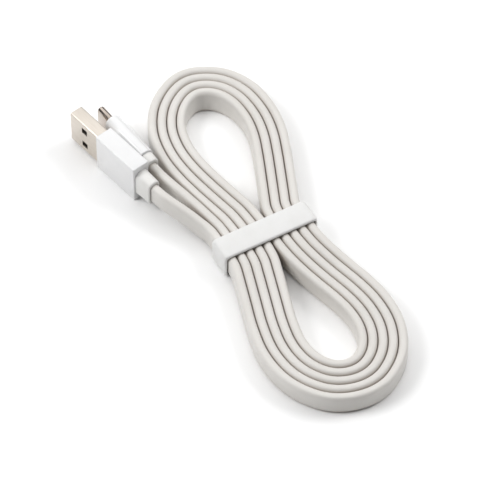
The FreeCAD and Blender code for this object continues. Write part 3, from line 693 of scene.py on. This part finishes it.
def rolled_metal(name, place, first, second, gloss, edge_colour, edge_amount):
    """Plated sheet, with faint marks drawn out along the plug."""
    turn = place.to_euler().z
    finish = Finish(name, (ROLLED_STRETCH, 1, 1), turn, Metallic=1.0)
    finish.tint(first, second, scale=2600)
    finish.gloss(*gloss, scale=3400)
    finish.grain(scale=5200, depth=0.0016 * MM)
    # Painted edge light: the pointed edges are tinted towards the edge colour, lighter or darker.
    return finish.painted_edge_light(edge_colour, edge_amount)


def plain_finish(name, first, second, scale, gloss, grain, **sockets):
    """Small piece: two tints and their scale, roughness range, grain's scale and depth."""
    finish = Finish(name, **sockets)
    finish.tint(first, second, scale)
    finish.gloss(*gloss, 2 * scale)
    return finish.grain(*grain)


def insulation_finish(name, first, second):
    """Glossy wire insulation."""
    return plain_finish(name, first, second, 900, (0.28, 0.42), (2400, 0.006 * MM))


def finishes():
    """Every finish by the name of its slot."""
    made = [
        cable_finish(),
        band_finish(),
        casing_finish(),
        boot_finish(),
        # The USB-A shell's lighter edge colour is a painted highlight; the USB-C shell's dark one
        # is a painted dark reflection.
        rolled_metal("usb_a_shell_plating", A_FRAME, (0.69, 0.637, 0.573), (0.63, 0.577, 0.513),
                     (0.32, 0.42), (0.80, 0.74, 0.67), 0.4),
        rolled_metal("usb_c_shell_plating", C_FRAME, (0.60, 0.535, 0.480), (0.52, 0.455, 0.400),
                     (0.09, 0.15), (0.16, 0.13, 0.11), 1.0),
        plain_finish("contact_plating", (0.86, 0.62, 0.25), (0.74, 0.50, 0.17), 1800, (0.16, 0.30),
                     (3800, 0.003 * MM), Metallic=1.0),
        plain_finish("tongue_plastic", (0.012, 0.009, 0.007), (0.020, 0.016, 0.013), 900,
                     (0.62, 0.76), (3600, 0.010 * MM), Specular_IOR_Level=0.06),
        plain_finish("insulator_plastic", (0.040, 0.040, 0.042), (0.065, 0.064, 0.064), 900,
                     (0.40, 0.55), (3600, 0.008 * MM)),
        plain_finish("spring_steel", (0.56, 0.55, 0.53), (0.44, 0.43, 0.41), 1500, (0.24, 0.40),
                     (4200, 0.003 * MM), Metallic=1.0),
        plain_finish("inner_mold_plastic", (0.70, 0.69, 0.66), (0.62, 0.61, 0.58), 400,
                     (0.45, 0.60), (1600, 0.020 * MM), Subsurface_Weight=0.3,
                     Subsurface_Scale=0.001),
        plain_finish("board_laminate", (0.020, 0.150, 0.060), (0.030, 0.210, 0.085), 1400,
                     (0.25, 0.40), (3000, 0.008 * MM)),
        plain_finish("resistor_body", (0.030, 0.030, 0.032), (0.070, 0.068, 0.066), 2500,
                     (0.35, 0.50), (5000, 0.010 * MM)),
        plain_finish("solder", (0.62, 0.62, 0.60), (0.46, 0.46, 0.45), 1400, (0.20, 0.42),
                     (1800, 0.030 * MM), Metallic=1.0),
        insulation_finish("red_insulation", (0.55, 0.025, 0.020), (0.42, 0.018, 0.016)),
        insulation_finish("white_insulation", (0.74, 0.73, 0.70), (0.64, 0.63, 0.60)),
        insulation_finish("green_insulation", (0.030, 0.300, 0.070), (0.022, 0.220, 0.050)),
        insulation_finish("black_insulation", (0.020, 0.020, 0.021), (0.045, 0.044, 0.043)),
    ]
    return {finish.slot: finish.material for finish in made}


# The edges of the carried-over CAD nodes: their width, their steps, and the angle in
# degrees that counts as an edge.
CAD_EDGE = 0.04 * MM
CAD_EDGE_STEPS = 2
CAD_EDGE_ANGLE = 40


def dress(piece, material):
    """Give the piece that one material."""
    piece.data.materials.clear()
    piece.data.materials.append(material)


def dress_everything(new_pieces):
    """Give each CAD node and each new piece its slot's finish."""
    by_slot = finishes()
    for part in frame["record"]["subparts"]:
        cad_piece = frame["nodes"][part["node"]]
        dress(cad_piece, by_slot[part["material_slot"]])
        smooth(cad_piece, CAD_SHARP_ANGLE)
        if not cad_piece.hide_render:
            edge = cad_piece.modifiers.new("edge", "BEVEL")
            edge.width = CAD_EDGE
            edge.segments = CAD_EDGE_STEPS
            edge.angle_limit = math.radians(CAD_EDGE_ANGLE)
    for piece in new_pieces:
        dress(piece, by_slot[piece["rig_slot"]])


# ------------------------------------------------------------ stage
LOOK_AT = Vector((-4.0, 4.6, 0.0)) * MM
CAMERA_AZIMUTH = math.radians(-29.5)
CAMERA_ELEVATION = math.radians(51)
CAMERA_DISTANCE = 1048 * MM
# The lens and the sensor are in millimetres, and the clip distances in metres.
CAMERA_LENS = 259.5
CAMERA_SENSOR = 36
CAMERA_CLIP = (0.01, 20)
FLOOR_HALF = 3.0
FLOOR_COLOUR = (0.96, 0.96, 0.96, 1)
FLOOR_ROUGHNESS = 0.9
SKY_COLOUR = (1, 1, 1, 1)
SKY_STRENGTH = 0.12
# Each light: azimuth and elevation in degrees, distance and size in metres, watts.
KEY_LIGHT = (-117, 43, 1.5, 0.8, 12.5)
SIDE_LIGHT = (82, 42, 1.5, 0.8, 8.7)
BACK_PANEL = (155, 64, 1.6, 2.6, 21.5)


def direction(azimuth, elevation):
    """Unit vector from the object towards something at that azimuth and height."""
    flat = math.cos(elevation)
    return Vector((math.sin(azimuth) * flat, -math.cos(azimuth) * flat, math.sin(elevation)))


def make_camera():
    """Camera in front of the hank, to its left and above it."""
    data = bpy.data.cameras.new("camera")
    data.lens = CAMERA_LENS
    data.sensor_width = CAMERA_SENSOR
    data.clip_start, data.clip_end = CAMERA_CLIP
    camera = bpy.data.objects.new("camera", data)
    bpy.context.scene.collection.objects.link(camera)
    back = direction(CAMERA_AZIMUTH, CAMERA_ELEVATION)
    camera.location = LOOK_AT + back * CAMERA_DISTANCE
    camera.rotation_mode = "QUATERNION"
    camera.rotation_quaternion = (-back).to_track_quat("-Z", "Y")
    bpy.context.scene.camera = camera


def make_light(name, azimuth, elevation, distance, size, watts):
    """Round soft light that shines on the middle of the scene."""
    data = bpy.data.lights.new(name, "AREA")
    data.shape = "DISK"
    data.size = size
    data.energy = watts
    light = bpy.data.objects.new(name, data)
    bpy.context.scene.collection.objects.link(light)
    towards = direction(math.radians(azimuth), math.radians(elevation))
    light.location = towards * distance
    light.rotation_mode = "QUATERNION"
    light.rotation_quaternion = towards.to_track_quat("Z", "Y")


def make_floor():
    """Plain pale matte floor."""
    shape = bmesh.new()
    bmesh.ops.create_grid(shape, x_segments=1, y_segments=1, size=FLOOR_HALF)
    floor = new_piece("floor", shape)
    paint = bpy.data.materials.new("floor_paint")
    paint.use_nodes = True
    surface = paint.node_tree.nodes["Principled BSDF"]
    surface.inputs["Base Color"].default_value = FLOOR_COLOUR
    surface.inputs["Roughness"].default_value = FLOOR_ROUGHNESS
    floor.data.materials.append(paint)


def make_studio():
    """Even light from all round, a soft light on each side and a large panel behind."""
    world = bpy.data.worlds.new("studio")
    world.use_nodes = True
    sky = world.node_tree.nodes["Background"]
    sky.inputs["Color"].default_value = SKY_COLOUR
    sky.inputs["Strength"].default_value = SKY_STRENGTH
    scene = bpy.context.scene
    scene.world = world
    scene.view_settings.view_transform = "Standard"
    make_light("key", *KEY_LIGHT)
    make_light("side", *SIDE_LIGHT)
    make_light("panel", *BACK_PANEL)


# ------------------------------------------------------------ the scene
make_camera()
make_floor()
make_studio()
cable, cable_line = make_cable()
usb_a_pieces = make_usb_a()
usb_c_pieces = make_usb_c()
dress_everything([cable, make_band()] + usb_a_pieces + usb_c_pieces)
